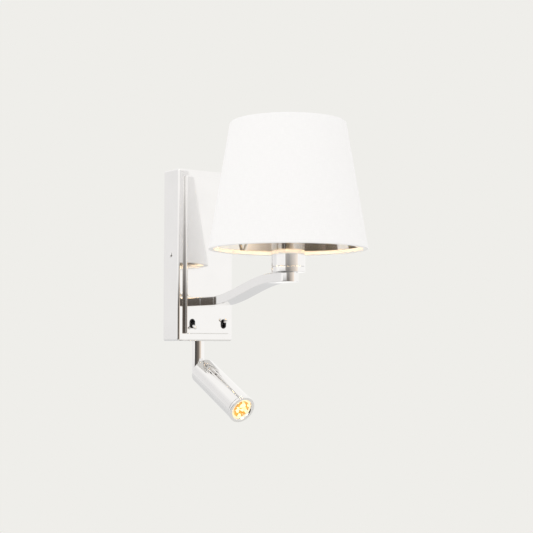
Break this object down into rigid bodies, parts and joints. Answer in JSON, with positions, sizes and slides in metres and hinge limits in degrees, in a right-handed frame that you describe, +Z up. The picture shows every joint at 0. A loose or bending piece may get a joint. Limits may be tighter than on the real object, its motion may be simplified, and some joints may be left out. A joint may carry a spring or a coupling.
{
  "type": "wall light with reading spot",
  "caption": "Wall light: box back plate, swept flat arm with a tapered fabric shade, and a small tilting LED reading spot on a stem below, with toggle switches.",
  "frame": {"origin": "middle of the back face of the wall bracket, on the wall", "axes": "+Z up, +Y into the wall, so the light stands out towards -Y; +X to the right seen from the front"},
  "size_m": [0.187, 0.3005, 0.3545],
  "materials": {
    "polished_nickel": "mirror polished nickel plate",
    "zinc_steel": "zinc plated",
    "brass": "satin",
    "aluminium": "satin",
    "black_plastic": "moulded",
    "white_plastic": "moulded",
    "rubber": "matt",
    "ceramic": "unglazed",
    "shade_fabric": "fine silk-like weave, laminated",
    "foil_lining": "metallised foil",
    "frosted_glass": "frosted",
    "clear_glass": "clear",
    "gold_reflector": "vapour metallised",
    "led_phosphor": "matt",
    "board_white": "solder mask",
    "cable_sheath": "extruded",
    "brown_wire": "extruded"
  },
  "bodies": {
    "wall_light": {"wall_bracket": "zinc_steel", "cover_box": "polished_nickel", "face_panel": "polished_nickel", "cover_screw_left": "polished_nickel", "cover_screw_right": "polished_nickel", "panel_nut_upper": "zinc_steel", "panel_nut_lower": "zinc_steel", "terminal_block": "white_plastic", "led_driver": "white_plastic", "driver_screw_upper": "zinc_steel", "driver_screw_lower": "zinc_steel", "entry_grommet": "rubber", "earth_tag": "brass", "earth_screw": "brass", "arm": "polished_nickel", "arm_nipple": "zinc_steel", "arm_washer": "zinc_steel", "arm_nut": "zinc_steel", "holder_nipple": "zinc_steel", "holder_cap": "polished_nickel", "holder_nut": "zinc_steel", "holder_shell": "polished_nickel", "holder_insulator": "ceramic", "holder_screw_shell": "brass", "holder_contact": "brass", "bulb_cap": "brass", "bulb_body": "white_plastic", "bulb_globe": "frosted_glass", "shade_spider": "zinc_steel", "shade_ring_nut": "black_plastic", "shade_wire_lower": "zinc_steel", "shade_wire_upper": "zinc_steel", "shade_fabric": "shade_fabric", "shade_lining": "foil_lining", "switch_insert_left": "black_plastic", "switch_insert_right": "black_plastic", "switch_body_left": "black_plastic", "switch_body_right": "black_plastic", "stem_bush": "brass", "arm_cable": "cable_sheath", "stem_cable": "cable_sheath", "switch_wire_left": "brown_wire", "switch_wire_right": "brown_wire"},
    "spot_stem": {"stem_tube": "polished_nickel", "stem_stop_pin": "zinc_steel", "stem_washer": "zinc_steel", "stem_circlip": "zinc_steel", "tilt_pin": "zinc_steel"},
    "spot_head": {"tilt_tongue": "polished_nickel", "head_can": "polished_nickel", "tongue_nut": "zinc_steel", "head_heatsink": "aluminium", "led_board": "board_white", "led_chip": "led_phosphor", "spot_reflector": "gold_reflector", "spot_lens": "clear_glass", "spot_bezel": "polished_nickel", "head_cable": "cable_sheath"},
    "lever_left": {"switch_lever_left": "polished_nickel"},
    "lever_right": {"switch_lever_right": "polished_nickel"}
  },
  "joints": [
    {"name": "spot_swivel", "type": "hinge", "parent": "wall_light", "child": "spot_stem", "pos_m": [0, -0.0174, -0.11], "axis": [0, 0, 1], "range_deg": [-80, 80]},
    {"name": "spot_tilt", "type": "hinge", "parent": "spot_stem", "child": "spot_head", "pos_m": [0, -0.0174, -0.142], "axis": [1, 0, 0], "range_deg": [-28, 62]},
    {"name": "switch_left", "type": "hinge", "parent": "wall_light", "child": "lever_left", "pos_m": [-0.024, -0.0371, -0.088], "axis": [1, 0, 0], "range_deg": [-56, 0]},
    {"name": "switch_right", "type": "hinge", "parent": "wall_light", "child": "lever_right", "pos_m": [0.024, -0.0371, -0.088], "axis": [1, 0, 0], "range_deg": [0, 56]}
  ]
}
